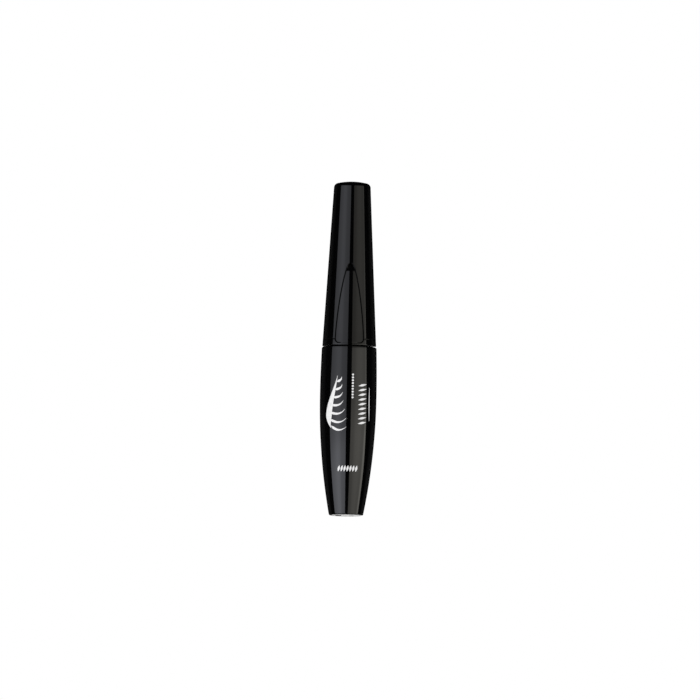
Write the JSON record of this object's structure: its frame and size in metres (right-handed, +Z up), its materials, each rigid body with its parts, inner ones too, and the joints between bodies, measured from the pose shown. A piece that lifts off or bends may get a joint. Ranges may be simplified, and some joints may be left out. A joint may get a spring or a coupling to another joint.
{
  "type": "liquid eyeliner bottle",
  "caption": "Slim barrel-shaped liquid eyeliner bottle with a tall tapered screw cap that carries a fine brush on a stem.",
  "frame": {"origin": "centre of the foot, on the surface that the bottle stands on", "axes": "+Z up along the bottle's axis towards the cap's crown; -Y towards the front, where the cap has its petal; +X to the right seen from the front"},
  "size_m": [0.0194, 0.0194, 0.115],
  "materials": {
    "bottle_black": "high gloss black polypropylene",
    "cap_black": "high gloss black plastic",
    "inner_black": "moulded satin black",
    "stem_black": "moulded satin black",
    "wiper_natural": "soft milky polyethylene",
    "washer_white": "fine closed-cell foam",
    "ferrule_metal": "drawn tube",
    "bristle_brown": "fine nylon bristles",
    "label_white": "coated paper label"
  },
  "bodies": {
    "bottle_body": {"bottle": "bottle_black", "wiper": "wiper_natural", "base_label": "label_white"},
    "washer_body": {"seal_washer": "washer_white"},
    "cap_body": {"overcap": "cap_black", "inner_cap": "inner_black", "stem": "stem_black", "ferrule": "ferrule_metal", "brush_tuft": "bristle_brown"}
  },
  "joints": [
    {"name": "cap_lift", "type": "slide", "parent": "bottle_body", "child": "washer_body", "axis": [0, 0, 1], "range_m": [0, 0.066]},
    {"name": "cap_turn", "type": "hinge", "parent": "washer_body", "child": "cap_body", "pos_m": [0, 0, 0.0723], "axis": [0, 0, 1], "range_deg": [0, 3960]}
  ],
  "couplings": [
    {"joint": "cap_lift", "follows": "cap_turn", "m_per_rad": 0.00095493}
  ]
}
